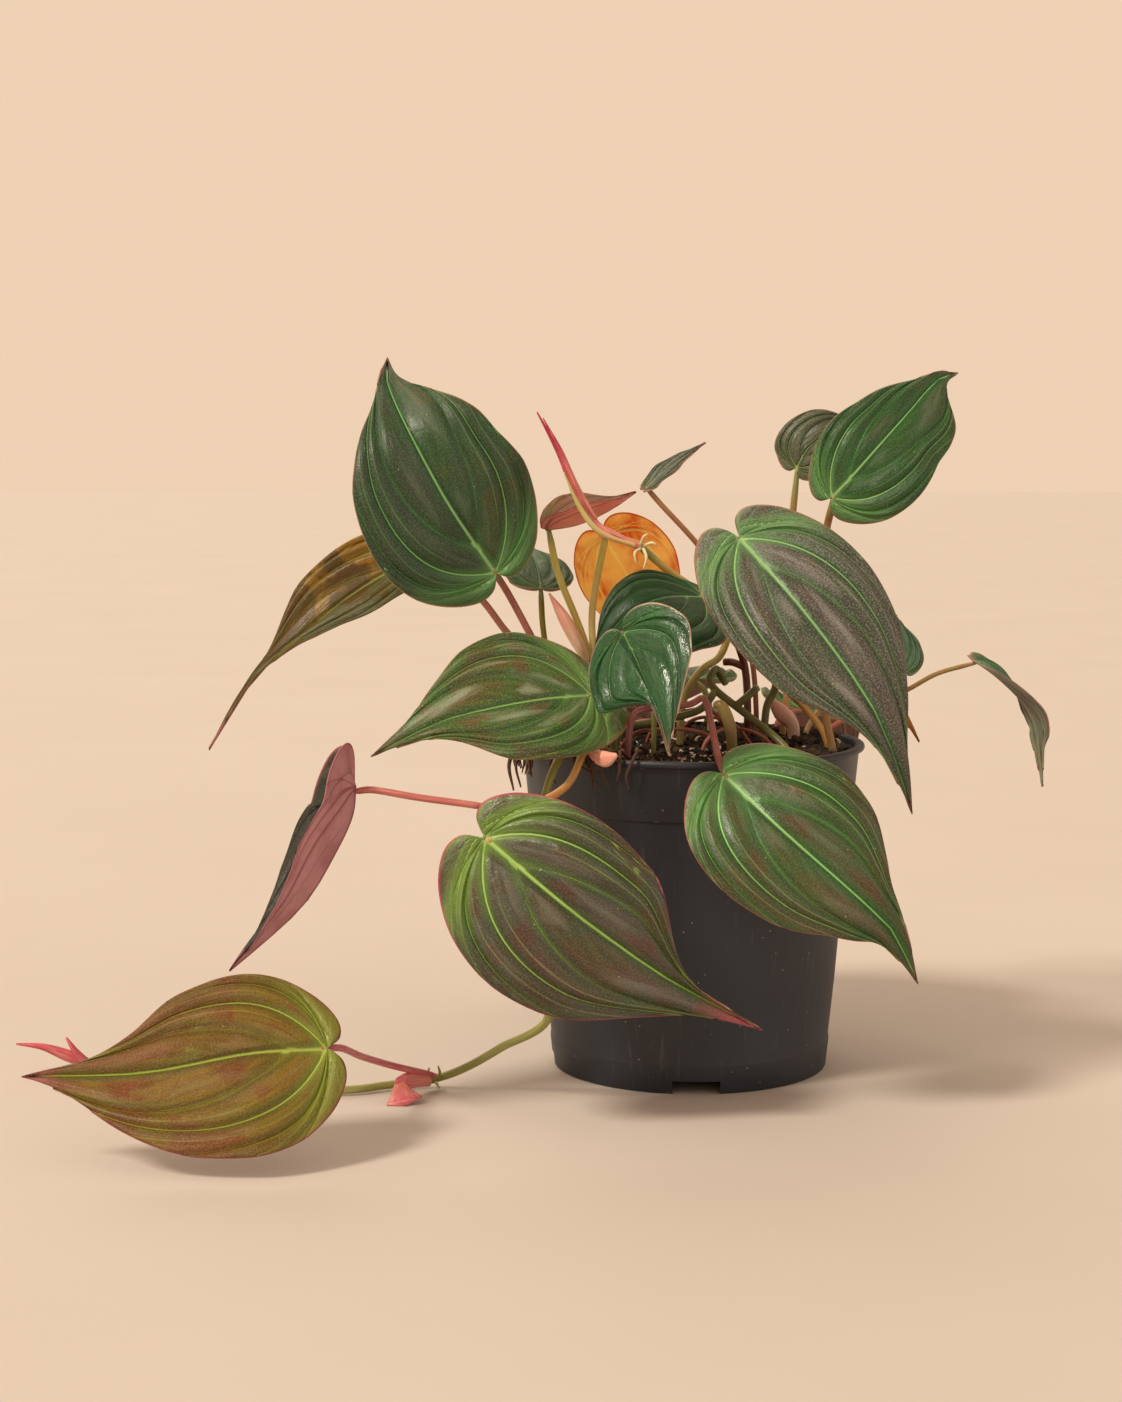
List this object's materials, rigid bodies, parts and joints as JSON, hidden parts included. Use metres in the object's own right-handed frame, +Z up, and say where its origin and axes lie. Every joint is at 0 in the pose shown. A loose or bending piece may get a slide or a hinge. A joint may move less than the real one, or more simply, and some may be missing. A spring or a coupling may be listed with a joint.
{
  "type": "potted trailing plant",
  "caption": "Young trailing velvet leaf philodendron with heart shaped leaves, in a round black nursery pot with soil.",
  "frame": {"origin": "centre of the underside of the pot, on the surface it stands on", "axes": "+Z up; -Y is the front that the picture shows; +X to the right, along the longest extent"},
  "size_m": [0.3552, 0.2377, 0.245],
  "materials": {
    "pot_plastic": "satin moulded black plastic, dusty",
    "soil": "damp dark potting mix with white perlite",
    "leaf_dark_green": "velvety dark green leaf",
    "leaf_green": "velvety green leaf",
    "leaf_mottled": "velvety green leaf with brown cloudy patches",
    "leaf_brown_green": "velvety brown green leaf",
    "leaf_velvet": "grey brown velvet leaf",
    "leaf_glossy": "young glossy blue green leaf",
    "leaf_dull": "dull grey green leaf",
    "leaf_bronze": "bronze leaf with green veins",
    "leaf_orange": "thin leaf lit through, orange",
    "leaf_pink_back": "leaf seen from its pink underside",
    "petiole_olive": "smooth olive stalk",
    "petiole_red": "smooth red brown stalk",
    "petiole_tan": "smooth tan stalk",
    "petiole_yellow": "smooth yellow green stalk",
    "petiole_pink": "smooth pink stalk",
    "vine_olive": "smooth olive vine with nodes",
    "sheath_pink": "smooth pink red sheath",
    "sheath_pale": "pale pink papery sheath",
    "root_brown": "dry dark root"
  },
  "bodies": {
    "root": {"leaf_upper_left": "leaf_dark_green", "leaf_hanging_left": "leaf_bronze", "leaf_mid_left": "leaf_mottled", "leaf_small_glossy": "leaf_glossy", "leaf_arched": "leaf_dark_green", "leaf_front": "leaf_brown_green", "leaf_front_right": "leaf_green", "leaf_velvet_right": "leaf_velvet", "leaf_upper_right": "leaf_green", "leaf_dull_right": "leaf_dull", "leaf_curled_right": "leaf_dull", "leaf_tiny_right": "leaf_dull", "leaf_yellow": "leaf_orange", "leaf_inrolled": "leaf_pink_back", "leaf_bronze": "leaf_bronze", "leaf_dark_small": "leaf_dark_green", "leaf_orange": "leaf_orange", "leaf_edge_on": "leaf_pink_back", "leaf_small_top": "leaf_dull", "leaf_back_low": "leaf_green", "leaf_back_right": "leaf_mottled", "leaf_back_left": "leaf_brown_green", "leaf_back_hanging": "leaf_green", "leaf_back_high": "leaf_dark_green", "stem_left_pair": "petiole_red", "petiole_mid_left": "petiole_olive", "petiole_small_glossy": "petiole_olive", "stem_brown": "petiole_red", "petiole_front": "petiole_tan", "petiole_front_right": "petiole_red", "petiole_velvet": "petiole_olive", "petiole_upper_right": "petiole_tan", "petiole_dull_right": "petiole_tan", "petiole_curled_right": "petiole_red", "stem_far_right": "petiole_tan", "petiole_dark_small": "petiole_olive", "stem_middle": "petiole_yellow", "petiole_small_top": "petiole_tan", "petiole_back_low": "petiole_olive", "petiole_back_right": "petiole_red", "petiole_back_left": "petiole_red", "petiole_back_hanging": "petiole_olive", "petiole_back_high": "petiole_tan", "vine_trailing": "vine_olive", "stem_crown": "petiole_yellow", "stem_crossing": "vine_olive", "petiole_inrolled": "petiole_pink", "petiole_bronze": "petiole_pink", "spear_crown": "sheath_pink", "spear_vine": "sheath_pink", "bract_vine": "sheath_pink", "sheath_middle": "sheath_pale", "sheath_rim": "sheath_pale", "sheath_cream": "sheath_pale", "bud_front": "petiole_olive", "roots_rim": "root_brown", "pot": "pot_plastic", "soil": "soil"}
  },
  "joints": []
}
